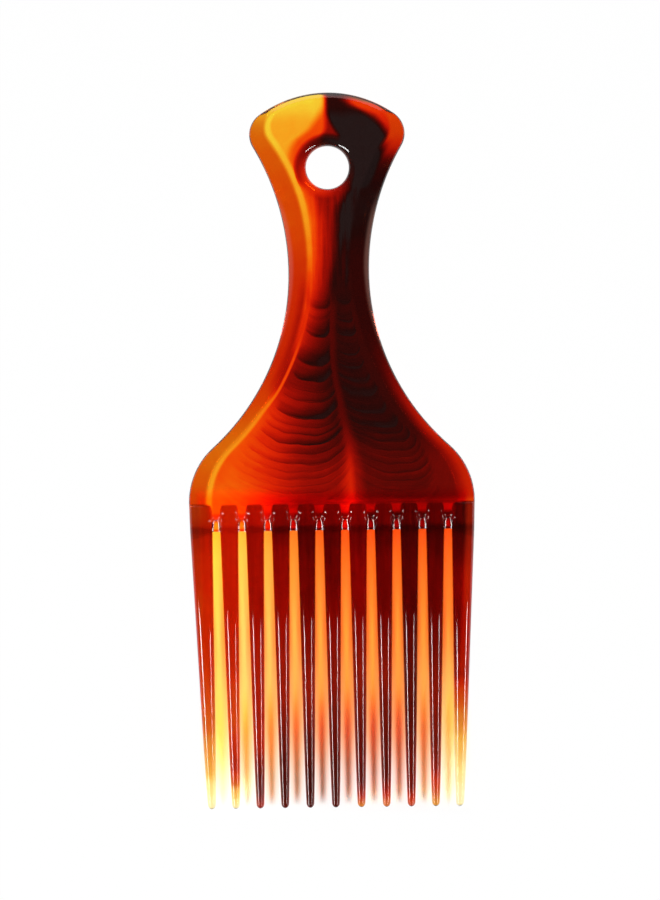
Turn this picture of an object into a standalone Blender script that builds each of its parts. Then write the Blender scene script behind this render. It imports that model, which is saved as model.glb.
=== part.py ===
# Fork comb for lifting hair: a bevelled handle with a hanging hole, a tooth bar, eleven teeth.
# The real comb is a single moulding in translucent plastic. Its zones are modelled as separate
# solids that meet at flat seams, where the shape itself changes: the handle plate ends where the
# tooth roots rise out of it, and the bar ends where the slots between the teeth break through.
# Metres. The comb lies on its back: X runs across the teeth, Y towards the handle's end, Z up.
# A station is a distance from the handle's end, measured along the comb.

import math

import bmesh
import bpy

# Lengths that add up to the whole comb
HANDLE_LENGTH = 0.1000
BAR_LENGTH = 0.0071
TOOTH_LENGTH = 0.0679

# Thickness of the moulding, and the gap left at each seam
BODY_THICKNESS = 0.0050
SEAM_GAP = 0.0003

# Handle outline: end arc, corner arc, two neck arcs and the shoulder arc, all tangent
HEAD_WIDTH = 0.0381
HEAD_END_RADIUS = 0.0285
HEAD_CORNER_RADIUS = 0.0060
NECK_WIDTH = 0.0198
NECK_STATION = 0.0439
SHOULDER_WIDTH = 0.0700
SHOULDER_RADIUS = 0.0180

# Sloping border between the outline and the flat raised face, the same on both sides
END_BORDER = 0.0016
HEAD_BORDER = 0.0043
NECK_BORDER = 0.0052
SHOULDER_BORDER = 0.0049
RIDGE_CORNER_RADIUS = 0.0045
RIDGE_NECK_SHIFT = 0.0035
RIM_THICKNESS = 0.0026
RIM_ROUND = 0.0008

# Hanging hole with its rounded lip
HOLE_DIAMETER = 0.0105
HOLE_STATION = 0.0184
LIP_WIDTH = 0.0026
LIP_DEPTH = 0.0021
LIP_START_ANGLE = math.radians(20.0)

# Teeth: sizes at the root and at the tip. The roots share out the width of the shoulders
TOOTH_COUNT = 11
ROOT_WIDTH = 0.0045
OUTER_ROOT_WIDTH = 0.00575
TIP_WIDTH = 0.00225
TIP_THICKNESS = 0.0020
TIP_SHARPENING = 0.0004
TIP_ROUND_LENGTH = 0.0012
OUTER_TIP_LEAN = 0.00115
OUTER_EDGE_DRAFT = 0.0002

# Tooth bar: valleys between the tooth roots, the slot ends and the web that closes them
VALLEY_DEPTH = 0.00045
VALLEY_RAMP = 0.0009
RIB_START = 0.0007
RIB_END_RUN = 0.0005
SLOT_LIP_START = 0.0020
SLOT_END = 0.0039
WEB_FOOT = 0.0049
WEB_THICKNESS = 0.0014

# How round a tooth's section is: 2 is an ellipse, more is squarer
ROOT_SQUARENESS = 2.6
TIP_SQUARENESS = 2.0

# Steps of the curves
END_ARC_STEPS = 5
CORNER_ARC_STEPS = 6
UPPER_NECK_STEPS = 6
LOWER_NECK_STEPS = 7
SHOULDER_ARC_STEPS = 4
RIM_STEPS = 3
HOLE_SIDES = 32
LIP_STEPS = 4
TOOTH_SECTION_SHARES = (0.0, 0.42, 0.68, 0.84, 0.95, 1.0)
TOOTH_ROW_SHARES = (0.0, 0.16, 0.32, 0.48, 0.64, 0.78, 0.88, 0.94)
TIP_STEPS = 3
SHARPENING_POWER = 8
SMOOTH_ANGLE = math.radians(32.0)

# Surface: the plastic's colours in this moulding, roughness and how clear it is
HANDLE_COLOUR = (0.62, 0.13, 0.02)
BAR_COLOUR = (0.33, 0.03, 0.01)
INNER_TOOTH_COLOUR = (0.22, 0.015, 0.008)
OUTER_TOOTH_COLOUR = (0.70, 0.28, 0.05)
GLOSS_ROUGHNESS_SHARE = 0.08
CLEARNESS_SHARE = 0.6

# Worked out from the sizes above
COMB_LENGTH = HANDLE_LENGTH + BAR_LENGTH + TOOTH_LENGTH
HALF_THICKNESS = BODY_THICKNESS / 2
VALLEY_HEIGHT = HALF_THICKNESS - VALLEY_DEPTH
BAR_END = HANDLE_LENGTH + BAR_LENGTH
OUTER_TOOTH = (TOOTH_COUNT - 1) // 2
ROOT_PITCH = (SHOULDER_WIDTH / 2 - OUTER_ROOT_WIDTH + ROOT_WIDTH / 2) / OUTER_TOOTH


def clear_scene():
    for obj in list(bpy.data.objects):
        bpy.data.objects.remove(obj, do_unlink=True)


def length_position(station):
    # Y of a station, with the comb's length centred on the origin
    return COMB_LENGTH / 2 - station


def plastic(name, colour):
    material = bpy.data.materials.new(name)
    material.use_nodes = True
    shader = material.node_tree.nodes["Principled BSDF"]
    shader.inputs["Base Color"].default_value = (*colour, 1.0)
    shader.inputs["Roughness"].default_value = GLOSS_ROUGHNESS_SHARE
    shader.inputs["Metallic"].default_value = 0.0
    shader.inputs["Transmission Weight"].default_value = CLEARNESS_SHARE
    return material


def mark_creases(bm):
    # Round stretches are shaded smooth, and edges that fold more than they do stay crisp
    for face in bm.faces:
        face.smooth = True
    for edge in bm.edges:
        if edge.calc_face_angle(0.0) > SMOOTH_ANGLE:
            edge.smooth = False


def finish_piece(bm, name, colour, location, parent):
    # Turns a bmesh into a named object with its own material
    bmesh.ops.recalc_face_normals(bm, faces=bm.faces)
    mark_creases(bm)
    mesh = bpy.data.meshes.new(name)
    bm.to_mesh(mesh)
    bm.free()
    mesh.materials.append(plastic(name + "_plastic", colour))
    piece = bpy.data.objects.new(name, mesh)
    piece.location = location
    piece.parent = parent
    bpy.context.collection.objects.link(piece)
    return piece


def bridge(bm, first, second, closed):
    # Quads between two rows of vertices of the same length
    last = len(first) if closed else len(first) - 1
    for i in range(last):
        j = (i + 1) % len(first)
        bm.faces.new((first[i], first[j], second[j], second[i]))


# Outline of the handle

def arc(centre, radius, start, end, steps):
    # Points after the start of an arc, up to and with its end
    points = []
    for i in range(1, steps + 1):
        angle = start + (end - start) * i / steps
        points.append((centre[0] + radius * math.cos(angle), centre[1] + radius * math.sin(angle)))
    return points


def neck_circle(neck_half, neck_station, centre, radius):
    # The circle that passes the narrowest place of the neck and touches a round of the outline
    across = neck_half - centre[0]
    along = neck_station - centre[1]
    neck_radius = (across ** 2 + along ** 2 - radius ** 2) / (2 * (radius - across))
    return (neck_half + neck_radius, neck_station), neck_radius


def direction(start, end):
    return math.atan2(end[1] - start[1], end[0] - start[0])


def half_outline(end_inset, head_half, corner_radius, neck_half, neck_station, shoulder_half, seam):
    # One side of the handle as (half width, station), from the middle of its end to the seam
    end_centre = (0.0, HEAD_END_RADIUS)
    end_radius = HEAD_END_RADIUS - end_inset
    corner_x = head_half - corner_radius
    corner_rise = math.sqrt((end_radius - corner_radius) ** 2 - corner_x ** 2)
    corner = (corner_x, HEAD_END_RADIUS - corner_rise)
    shoulder = (shoulder_half - SHOULDER_RADIUS, HANDLE_LENGTH)
    upper, upper_radius = neck_circle(neck_half, neck_station, corner, corner_radius)
    lower, lower_radius = neck_circle(neck_half, neck_station, shoulder, SHOULDER_RADIUS)

    to_corner = direction(end_centre, corner)
    to_upper = direction(corner, upper)
    to_shoulder = direction(lower, shoulder)
    at_seam = math.asin((seam - HANDLE_LENGTH) / SHOULDER_RADIUS)

    points = [(0.0, end_inset)]
    points += arc(end_centre, end_radius, -math.pi / 2, to_corner, END_ARC_STEPS)
    points += arc(corner, corner_radius, to_corner, to_upper, CORNER_ARC_STEPS)
    points += arc(upper, upper_radius, to_upper + math.pi, math.pi, UPPER_NECK_STEPS)
    points += arc(lower, lower_radius, math.pi, to_shoulder, LOWER_NECK_STEPS)
    points += arc(shoulder, SHOULDER_RADIUS, to_shoulder - math.pi, at_seam, SHOULDER_ARC_STEPS)
    return points


def outer_outline(seam):
    return half_outline(0.0, HEAD_WIDTH / 2, HEAD_CORNER_RADIUS, NECK_WIDTH / 2,
                        NECK_STATION, SHOULDER_WIDTH / 2, seam)


def ridge_outline(seam):
    # The edge of the flat raised face, inside the sloping border
    return half_outline(END_BORDER, HEAD_WIDTH / 2 - HEAD_BORDER, RIDGE_CORNER_RADIUS,
                        NECK_WIDTH / 2 - NECK_BORDER, NECK_STATION - RIDGE_NECK_SHIFT,
                        SHOULDER_WIDTH / 2 - SHOULDER_BORDER, seam)


def rim_profile():
    # Steps of the rounded rim as (inset, height), from the middle plane up to the border slope
    steps = []
    for i in range(RIM_STEPS + 1):
        angle = math.pi / 2 * i / RIM_STEPS
        steps.append((RIM_ROUND * (1 - math.cos(angle)), RIM_THICKNESS / 2 * math.sin(angle)))
    return steps


def both_sides(half):
    # A whole row from one side's points, across the middle of the handle's end
    mirrored = [(-x, station) for x, station in reversed(half[1:])]
    return mirrored + half


# Handle

def border_rows(seam):
    # Rows of (x, station, height) from the outline up the rim and the slope to the ridge
    outline = both_sides(outer_outline(seam))
    ridge = both_sides(ridge_outline(seam))
    rows = []
    for inset, height in rim_profile():
        row = []
        for edge, top in zip(outline, ridge):
            share = inset / math.dist(edge, top)
            x = edge[0] + (top[0] - edge[0]) * share
            station = edge[1] + (top[1] - edge[1]) * share
            row.append((x, station, height))
        rows.append(row)
    rows.append([(x, station, HALF_THICKNESS) for x, station in ridge])
    return rows


def lip_profile():
    # Radius and height of the hole's lip, from the raised face down to the straight wall
    steps = []
    top = math.sin(LIP_START_ANGLE)
    for i in range(LIP_STEPS + 1):
        angle = LIP_START_ANGLE + (math.pi / 2 - LIP_START_ANGLE) * i / LIP_STEPS
        inward = LIP_WIDTH * (math.sin(angle) - top) / (1 - top)
        drop = LIP_DEPTH * (1 - math.cos(angle) / math.cos(LIP_START_ANGLE))
        steps.append((HOLE_DIAMETER / 2 + LIP_WIDTH - inward, HALF_THICKNESS - drop))
    return steps


def circle_row(bm, radius, height):
    row = []
    for i in range(HOLE_SIDES):
        turn = 2 * math.pi * i / HOLE_SIDES
        y = length_position(HOLE_STATION) + radius * math.sin(turn)
        row.append(bm.verts.new((radius * math.cos(turn), y, height)))
    return row


def row_edges(bm, row, closed):
    # The edges along a row of vertices, made where they are missing
    pairs = list(zip(row, row[1:]))
    if closed:
        pairs.append((row[-1], row[0]))
    return [bm.edges.get(pair) or bm.edges.new(pair) for pair in pairs]


def handle_side(bm, rows, side, edge_row):
    # Rim, slope, flat face and hole lip of the front (side 1) or the back (side -1)
    placed = [edge_row]
    for row in rows[1:]:
        placed.append([bm.verts.new((x, length_position(s), side * z)) for x, s, z in row])
    for lower, upper in zip(placed, placed[1:]):
        bridge(bm, lower, upper, closed=False)
    for edge in row_edges(bm, placed[-1], closed=False):
        edge.smooth = False
    lips = [circle_row(bm, radius, side * height) for radius, height in lip_profile()]
    for outer, inner in zip(lips, lips[1:]):
        bridge(bm, outer, inner, closed=True)
    for edge in row_edges(bm, lips[0], closed=True):
        edge.smooth = False
    face_edges = row_edges(bm, placed[-1], closed=True) + row_edges(bm, lips[0], closed=True)
    bmesh.ops.triangle_fill(bm, edges=face_edges, use_beauty=True)
    return placed, lips[-1]


def build_handle(parent):
    bm = bmesh.new()
    rows = border_rows(HANDLE_LENGTH - SEAM_GAP / 2)
    edge_row = [bm.verts.new((x, length_position(s), z)) for x, s, z in rows[0]]
    front, front_lip = handle_side(bm, rows, 1, edge_row)
    back, back_lip = handle_side(bm, rows, -1, edge_row)
    bridge(bm, front_lip, back_lip, closed=True)
    end_face = [row[0] for row in front]
    end_face += [row[-1] for row in reversed(front)]
    end_face += [row[-1] for row in back[1:]]
    end_face += [row[0] for row in reversed(back[1:])]
    bm.faces.new(end_face)
    return finish_piece(bm, "handle", HANDLE_COLOUR, (0.0, 0.0, HALF_THICKNESS), parent)


# Teeth, shared by the bar and by the tooth pieces

def tooth_height(share, squareness):
    # Height of a tooth's section at a share of its half width, with 1 at the crest
    return (1 - min(abs(share), 1.0) ** squareness) ** (1 / squareness)


def outline_half_width(station):
    # Half width of the comb along the bar, which is widest where the handle meets it
    past = station - HANDLE_LENGTH
    return SHOULDER_WIDTH / 2 - OUTER_EDGE_DRAFT * past / BAR_LENGTH


def root_limits(number, station):
    # Centre and half width of a tooth root, counted from the middle tooth; the outer ones
    # reach the comb's outline
    near = ROOT_PITCH * abs(number) - ROOT_WIDTH / 2
    far = ROOT_PITCH * abs(number) + ROOT_WIDTH / 2
    if abs(number) == OUTER_TOOTH:
        far = outline_half_width(station)
    side = -1 if number < 0 else 1
    return side * (near + far) / 2, (far - near) / 2


# Tooth bar

def ease(value, start, end):
    # Runs smoothly from 0 at start to 1 at end
    share = min(max((value - start) / (end - start), 0.0), 1.0)
    return share * share * (3 - 2 * share)


def border_height(inset):
    # Height of the handle's section at a distance in from the outline, at the seam
    if inset <= 0.0:
        return 0.0
    if inset < RIM_ROUND:
        return RIM_THICKNESS / 2 * math.sqrt(1 - (1 - inset / RIM_ROUND) ** 2)
    share = min((inset - RIM_ROUND) / (SHOULDER_BORDER - RIM_ROUND), 1.0)
    return RIM_THICKNESS / 2 + (HALF_THICKNESS - RIM_THICKNESS / 2) * share


def plate_height(along):
    # The plate between two teeth: down to the valley, over the slot's lip, onto the web
    valley = HALF_THICKNESS - VALLEY_DEPTH * ease(along, 0.0, VALLEY_RAMP)
    web = WEB_THICKNESS / 2
    wall = (VALLEY_HEIGHT + web) / 2
    if along <= SLOT_LIP_START:
        return valley
    if along <= SLOT_END:
        over = (along - SLOT_LIP_START) / (SLOT_END - SLOT_LIP_START)
        return wall + (VALLEY_HEIGHT - wall) * math.sqrt(1 - over ** 2)
    if along <= WEB_FOOT:
        under = 1 - (along - SLOT_END) / (WEB_FOOT - SLOT_END)
        return wall - (wall - web) * math.sqrt(1 - under ** 2)
    return web


def bar_height(x, station):
    # Half thickness of the bar: the plate, or the tooth rib where it stands higher
    along = station - HANDLE_LENGTH
    height = min(plate_height(along), border_height(outline_half_width(station) - abs(x)))
    crest = HALF_THICKNESS * ease(along, RIB_START - RIB_END_RUN, RIB_START + RIB_END_RUN)
    for number in range(-OUTER_TOOTH, OUTER_TOOTH + 1):
        centre, half_width = root_limits(number, station)
        share = (x - centre) / half_width
        if abs(share) < 1.0:
            height = max(height, crest * tooth_height(share, ROOT_SQUARENESS))
    return height


def bar_places(station):
    # Places across the bar: the steps of each tooth's section and the middle of each slot
    places = []
    for number in range(-OUTER_TOOTH, OUTER_TOOTH + 1):
        centre, half_width = root_limits(number, station)
        for share in TOOTH_SECTION_SHARES[:0:-1]:
            places.append(centre - half_width * share)
        for share in TOOTH_SECTION_SHARES:
            places.append(centre + half_width * share)
        if number < OUTER_TOOTH:
            next_centre, next_half_width = root_limits(number + 1, station)
            near = centre + half_width
            far = next_centre - next_half_width
            places.append((near + far) / 2)
    return places


def bar_stations():
    # Rows along the bar, closer together where it changes
    start = SEAM_GAP / 2
    end = BAR_LENGTH - SEAM_GAP / 2
    lip = SLOT_END - SLOT_LIP_START
    lip_shares = (0.55, 0.85, 1.0)
    foot = WEB_FOOT - SLOT_END
    foot_shares = (0.25, 1.0)
    rows = [start, RIB_START, RIB_START + RIB_END_RUN / 2, RIB_START + RIB_END_RUN, SLOT_LIP_START]
    rows += [SLOT_LIP_START + lip * share for share in lip_shares]
    rows += [SLOT_END + foot * share for share in foot_shares]
    rows.append(end)
    return [HANDLE_LENGTH + along for along in rows]


def build_bar(parent):
    bm = bmesh.new()
    loops = []
    for station in bar_stations():
        places = bar_places(station)
        y = length_position(station)
        front = [(x, y, bar_height(x, station)) for x in places]
        front[0] = (places[0], y, 0.0)
        front[-1] = (places[-1], y, 0.0)
        back = [(x, y, -z) for x, y, z in front[-2:0:-1]]
        loops.append([bm.verts.new(point) for point in front + back])
    for first, second in zip(loops, loops[1:]):
        bridge(bm, first, second, closed=True)
    bm.faces.new(loops[0])
    bm.faces.new(loops[-1])
    return finish_piece(bm, "tooth_bar", BAR_COLOUR, (0.0, 0.0, HALF_THICKNESS), parent)


# Tooth pieces

def tip_centre(number):
    # The teeth lean in towards the middle, the outer ones most
    lean = OUTER_TIP_LEAN * (number / OUTER_TOOTH) ** 2
    root_centre, root_half_width = root_limits(number, BAR_END)
    side = -1 if number < 0 else 1
    on_pitch = side * ROOT_PITCH * abs(number)
    return on_pitch - side * lean, root_centre, root_half_width


def tooth_stations():
    # Rows along a tooth, and how far each is drawn in by the rounded tip
    start = BAR_END + SEAM_GAP / 2
    round_start = COMB_LENGTH - TIP_ROUND_LENGTH
    rows = [(start + (round_start - start) * share, 1.0) for share in TOOTH_ROW_SHARES]
    for i in range(TIP_STEPS):
        angle = math.pi / 2 * i / TIP_STEPS
        rows.append((round_start + TIP_ROUND_LENGTH * math.sin(angle), math.cos(angle)))
    return rows


def tooth_section(centre, half_width, half_thickness, squareness, y):
    # The closed section of a tooth, front side first
    shares = [-share for share in TOOTH_SECTION_SHARES[:0:-1]] + list(TOOTH_SECTION_SHARES)
    front = []
    for share in shares:
        height = half_thickness * tooth_height(share, squareness)
        front.append((centre + half_width * share, y, height))
    back = [(x, y, -z) for x, y, z in front[-2:0:-1]]
    return front + back


def build_tooth(number, parent):
    bm = bmesh.new()
    tip_x, root_x, root_half = tip_centre(number)
    root_y = length_position(BAR_END + SEAM_GAP / 2)
    loops = []
    for station, drawn_in in tooth_stations():
        share = (station - BAR_END) / TOOTH_LENGTH
        sharpened = TIP_SHARPENING / 2 * share ** SHARPENING_POWER
        centre = (tip_x - root_x) * share
        half_width = root_half + (TIP_WIDTH / 2 - root_half) * share - sharpened
        half_thick = HALF_THICKNESS + (TIP_THICKNESS / 2 - HALF_THICKNESS) * share
        squareness = ROOT_SQUARENESS + (TIP_SQUARENESS - ROOT_SQUARENESS) * share
        section = tooth_section(centre, half_width * drawn_in, half_thick * drawn_in,
                                squareness, length_position(station) - root_y)
        loops.append([bm.verts.new(point) for point in section])
    for first, second in zip(loops, loops[1:]):
        bridge(bm, first, second, closed=True)
    bm.faces.new(loops[0])
    tip = bm.verts.new((tip_x - root_x, length_position(COMB_LENGTH) - root_y, 0.0))
    last = loops[-1]
    for i in range(len(last)):
        bm.faces.new((last[i], last[(i + 1) % len(last)], tip))
    name = f"tooth_{number + OUTER_TOOTH + 1:02d}"
    colour = OUTER_TOOTH_COLOUR if abs(number) == OUTER_TOOTH else INNER_TOOTH_COLOUR
    return finish_piece(bm, name, colour, (root_x, root_y, HALF_THICKNESS), parent)


def build_comb():
    clear_scene()
    comb = bpy.data.objects.new("fork_comb", None)
    bpy.context.collection.objects.link(comb)
    build_handle(comb)
    build_bar(comb)
    for number in range(-OUTER_TOOTH, OUTER_TOOTH + 1):
        build_tooth(number, comb)


build_comb()
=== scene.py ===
import math

import bmesh
import bpy
from mathutils import Matrix, Vector


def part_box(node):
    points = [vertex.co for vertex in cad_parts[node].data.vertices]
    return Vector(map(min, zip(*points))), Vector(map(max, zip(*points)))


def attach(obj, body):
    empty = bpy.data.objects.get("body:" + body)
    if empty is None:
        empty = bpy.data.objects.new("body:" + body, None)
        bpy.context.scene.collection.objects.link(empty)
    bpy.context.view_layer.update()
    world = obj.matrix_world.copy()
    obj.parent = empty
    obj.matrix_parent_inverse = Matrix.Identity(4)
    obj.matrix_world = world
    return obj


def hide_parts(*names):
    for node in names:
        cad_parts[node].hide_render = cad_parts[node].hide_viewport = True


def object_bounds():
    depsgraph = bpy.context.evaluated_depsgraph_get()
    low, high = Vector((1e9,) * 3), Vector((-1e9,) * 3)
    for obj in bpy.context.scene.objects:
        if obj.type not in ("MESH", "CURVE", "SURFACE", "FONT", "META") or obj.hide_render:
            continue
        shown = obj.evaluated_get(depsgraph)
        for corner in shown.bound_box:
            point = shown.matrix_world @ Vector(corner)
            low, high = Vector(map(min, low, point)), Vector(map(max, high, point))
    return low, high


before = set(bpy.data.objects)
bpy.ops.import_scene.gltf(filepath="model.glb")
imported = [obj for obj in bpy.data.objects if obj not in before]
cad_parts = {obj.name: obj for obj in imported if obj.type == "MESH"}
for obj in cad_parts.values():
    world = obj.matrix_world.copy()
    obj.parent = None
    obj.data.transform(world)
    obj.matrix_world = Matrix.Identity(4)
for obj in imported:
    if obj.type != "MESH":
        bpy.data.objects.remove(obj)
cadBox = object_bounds()
low, high = cadBox

mm = 0.001
combLength = (high.y - low.y) / mm
halfWidth = high.x / mm
halfThickness = (high.z - low.z) / 2 / mm


def seamStation(upper, lower):
    # Where two nodes of the frame meet
    return combLength / 2 - (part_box(upper)[0].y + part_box(lower)[1].y) / 2 / mm


handleEnd = seamStation("handle", "tooth_bar")
barEnd = seamStation("tooth_bar", "tooth_06")
print(f"frame loaded: {combLength:.1f} x {2 * halfWidth:.1f} x {2 * halfThickness:.1f} mm")


# Handle: outline and ridge are tangent arcs, as (across, station) for the right-hand side

handle = {
    "endRadius": 28.5,
    "headHalf": 19.05,
    "cornerRadius": 6.0,
    "neckHalf": 9.9,
    "neckStation": 43.9,
    "shoulderRadius": 18.0,
    "endBorder": 1.6,
    "headBorder": 4.3,
    "neckBorder": 5.2,
    "shoulderBorder": 4.9,
    "ridgeCornerRadius": 4.5,
    "ridgeNeckShift": 3.5,
    "rimHalf": 1.3,
    "rimRound": 0.8,
    "ridgeRound": 0.35,
    "glowWidth": 1.6,
    "seamShift": 0.05,
    "arcSteps": (18, 20, 22, 26, 12),
    "rimSteps": 7,
    "slopeSteps": 3,
    "ridgeSteps": 4,
    "seamSteps": 60,
}

hole = {
    "radius": 5.25,
    "station": 18.4,
    "lipWidth": 2.6,
    "lipDepth": 2.1,
    "lipStart": math.radians(6),
    "lipSteps": 14,
    "lipClear": 0.15,
    "clearAtRidge": 3.4,
    "sides": 96,
}


def between(first, second, share):
    # The place at a share of the way from one point to another
    return tuple(a + (b - a) * share for a, b in zip(first, second))


def arcPoints(centre, radius, start, end, steps):
    angles = [start + (end - start) * i / steps for i in range(1, steps + 1)]
    return [(centre[0] + radius * math.cos(angle), centre[1] + radius * math.sin(angle))
            for angle in angles]


def neckCircle(neckHalf, neckStation, centre, radius):
    # The circle through the narrowest place of the neck that touches a round of the outline
    across = neckHalf - centre[0]
    along = neckStation - centre[1]
    size = (across ** 2 + along ** 2 - radius ** 2) / (2 * (radius - across))
    return (neckHalf + size, neckStation), size


def direction(start, end):
    return math.atan2(end[1] - start[1], end[0] - start[0])


def handleOutline(endInset, headHalf, cornerRadius, neckHalf, neckStation, shoulderHalf):
    endCentre = (0.0, handle["endRadius"])
    endRadius = handle["endRadius"] - endInset
    cornerX = headHalf - cornerRadius
    corner = (cornerX, handle["endRadius"] - math.sqrt((endRadius - cornerRadius) ** 2 - cornerX ** 2))
    shoulder = (shoulderHalf - handle["shoulderRadius"], handleEnd)
    upper, upperRadius = neckCircle(neckHalf, neckStation, corner, cornerRadius)
    lower, lowerRadius = neckCircle(neckHalf, neckStation, shoulder, handle["shoulderRadius"])
    toCorner = direction(endCentre, corner)
    toUpper = direction(corner, upper)
    toShoulder = direction(lower, shoulder)
    arcs = ((endCentre, endRadius, -math.pi / 2, toCorner), (corner, cornerRadius, toCorner, toUpper),
            (upper, upperRadius, toUpper + math.pi, math.pi), (lower, lowerRadius, math.pi, toShoulder),
            (shoulder, handle["shoulderRadius"], toShoulder - math.pi, 0.0))
    points = [(0.0, endInset)]
    for arc, steps in zip(arcs, handle["arcSteps"]):
        points += arcPoints(*arc, steps)
    return [(-x, station) for x, station in reversed(points[1:])] + points


def borderProfile(border):
    # Inset and height: round the rim, up the slope, over the ridge and onto the flat
    rimHalf, rimRound, soft = handle["rimHalf"], handle["rimRound"], handle["ridgeRound"]
    rise = halfThickness * rimRound
    run = rimHalf * (border - rimRound)
    touch = math.asin(rimHalf * rimRound / math.hypot(rise, run)) + math.atan2(run, rise)
    profile = []
    for i in range(handle["rimSteps"] + 1):
        angle = touch * i / handle["rimSteps"]
        profile.append((rimRound * (1 - math.cos(angle)), rimHalf * math.sin(angle)))
    foot, corner, flat = profile[-1], (border, halfThickness), (border + soft, halfThickness)
    top = between(corner, foot, soft / math.dist(foot, corner))
    for i in range(1, handle["slopeSteps"]):
        profile.append(between(foot, top, i / handle["slopeSteps"]))
    for i in range(handle["ridgeSteps"] + 1):
        share = i / handle["ridgeSteps"]
        profile.append(between(between(top, corner, share), between(corner, flat, share), share))
    inner = (border + handle["glowWidth"], halfThickness)
    return profile + [between(flat, inner, share) for share in (0.5, 1.0)]


def borderRows():
    # Rows of (across, station, height, distance inside the ridge) from the rim to the flat
    outline = handleOutline(0.0, handle["headHalf"], handle["cornerRadius"], handle["neckHalf"],
                            handle["neckStation"], halfWidth)
    ridge = handleOutline(handle["endBorder"], handle["headHalf"] - handle["headBorder"],
                          handle["ridgeCornerRadius"], handle["neckHalf"] - handle["neckBorder"],
                          handle["neckStation"] - handle["ridgeNeckShift"],
                          halfWidth - handle["shoulderBorder"])
    columns = []
    for edge, top in zip(outline, ridge):
        border = math.dist(edge, top)
        column = []
        for inset, height in borderProfile(border):
            x, station = between(edge, top, inset / border)
            # The flat is narrow beside the hanging hole, so its rows stay clear of the hole's lip
            away = math.hypot(x, station - hole["station"])
            inside = (inset - border) / handle["glowWidth"]
            clear = hole["clearAtRidge"] - (hole["clearAtRidge"] - 1) * inside
            least = hole["radius"] + hole["lipWidth"] + hole["lipClear"] * clear
            if inset > border and away < least:
                x *= least / away
                station = hole["station"] + (station - hole["station"]) * least / away
            column.append((x, station, height, inset - border))
        columns.append(column)
    return [list(row) for row in zip(*columns)]


def lipProfile():
    # Radius and height of the hanging hole's lip, from the flat down to the straight wall
    profile = []
    start = hole["lipStart"]
    for i in range(hole["lipSteps"] + 1):
        angle = start + (math.pi / 2 - start) * i / hole["lipSteps"]
        inward = hole["lipWidth"] * (math.sin(angle) - math.sin(start)) / (1 - math.sin(start))
        drop = hole["lipDepth"] * (1 - math.cos(angle) / math.cos(start))
        profile.append((hole["radius"] + hole["lipWidth"] - inward, halfThickness - drop))
    return profile


# Tooth bar and teeth: a tooth's section is a squarish oval, cut in steps of its own angle

teeth = {
    "outer": 5,
    "pitch": 6.3,
    "rootHalf": 2.25,
    "outerDraft": 0.2,
    "tipHalf": 1.125,
    "tipHeight": 1.0,
    "sharpening": 0.2,
    "sharpeningPower": 8,
    "lean": 1.15,
    "rootSquareness": 2.6,
    "tipSquareness": 2.0,
    "tipRound": 1.2,
    "sideSteps": 11,
    "rows": 34,
    "rowPower": 0.9,
    "tipSteps": 7,
}

bar = {
    "valleyDepth": 0.45,
    "valleyRamp": 0.9,
    "ribStart": 0.5,
    "ribRun": 0.42,
    "lipStart": 2.0,
    "slotEnd": 3.9,
    "webFoot": 4.9,
    "webHalf": 0.7,
    "webHollow": 1.66,
    "webFall": 0.3,
    "archShare": 0.9,
    "fillet": 0.3,
    "studAcross": 1.6,
    "studAlong": 2.4,
    "studRadius": 0.38,
    "studHeight": 0.2,
    "rootShare": (0.75, 0.27),
    "rootShareRun": (-0.4, 2.4),
    "rootSoft": (0.18, 0.08),
    "slotColumns": 8,
    "rowSteps": ((1.4, 12), (2.0, 4), (5.2, 26), (7.1, 7)),
}

slotHalf = teeth["pitch"] / 2 - teeth["rootHalf"]


def webHeight(fromSlot, beforeEnd=0.0):
    # The web is a shallow trough between two teeth, a little lower towards its free end
    reach = min(abs(fromSlot), slotHalf)
    hollow = bar["webHollow"] - math.sqrt(bar["webHollow"] ** 2 - reach ** 2)
    return bar["webHalf"] + hollow + bar["webFall"] * beforeEnd


webEdge = webHeight(slotHalf)
contactAngle = math.asin((webEdge / halfThickness) ** (teeth["rootSquareness"] / 2))
sideAngles = [0.0, contactAngle / 2, contactAngle]
contact = len(sideAngles) - 1
sideAngles += [contactAngle + (math.pi / 2 - contactAngle) * i / teeth["sideSteps"]
               for i in range(1, teeth["sideSteps"] + 1)]
# Over the front of a section from left to right, as (number of the angle, side)
toothOrder = [(i, -1) for i in range(len(sideAngles))]
toothOrder += [(i, 1) for i in reversed(range(len(sideAngles) - 1))]


def sectionShare(angle, squareness):
    # How far out a point of the section lies, 1 at the tooth's side
    return max(math.cos(angle), 0.0) ** (2 / squareness)


def sectionHeight(angle, squareness):
    return math.sin(angle) ** (2 / squareness)


def toothSection(centre, half, top, squareness):
    # Points over the front of a section, as (across, height, angle)
    return [(centre + side * half * sectionShare(sideAngles[index], squareness),
             top * sectionHeight(sideAngles[index], squareness), sideAngles[index])
            for index, side in toothOrder]


def ribHeight(share):
    squareness = teeth["rootSquareness"]
    return (1 - min(abs(share), 1.0) ** squareness) ** (1 / squareness)


def ease(value, start, end):
    share = min(max((value - start) / (end - start), 0.0), 1.0)
    return share * share * (3 - 2 * share)


def crestShare(along):
    # How far a rib has risen out of the plate
    return ease(along, bar["ribStart"] - bar["ribRun"], bar["ribStart"] + bar["ribRun"])


def barHalfWidth(along):
    return halfWidth - teeth["outerDraft"] * along / (barEnd - handleEnd)


def rootLimits(number, along):
    # Centre and half width of a tooth root. The outer roots reach the comb's outline
    near = teeth["pitch"] * abs(number) - teeth["rootHalf"]
    far = teeth["pitch"] * abs(number) + teeth["rootHalf"]
    if abs(number) == teeth["outer"]:
        far = barHalfWidth(along)
    side = -1 if number < 0 else 1
    return side * (near + far) / 2, (far - near) / 2


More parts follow.
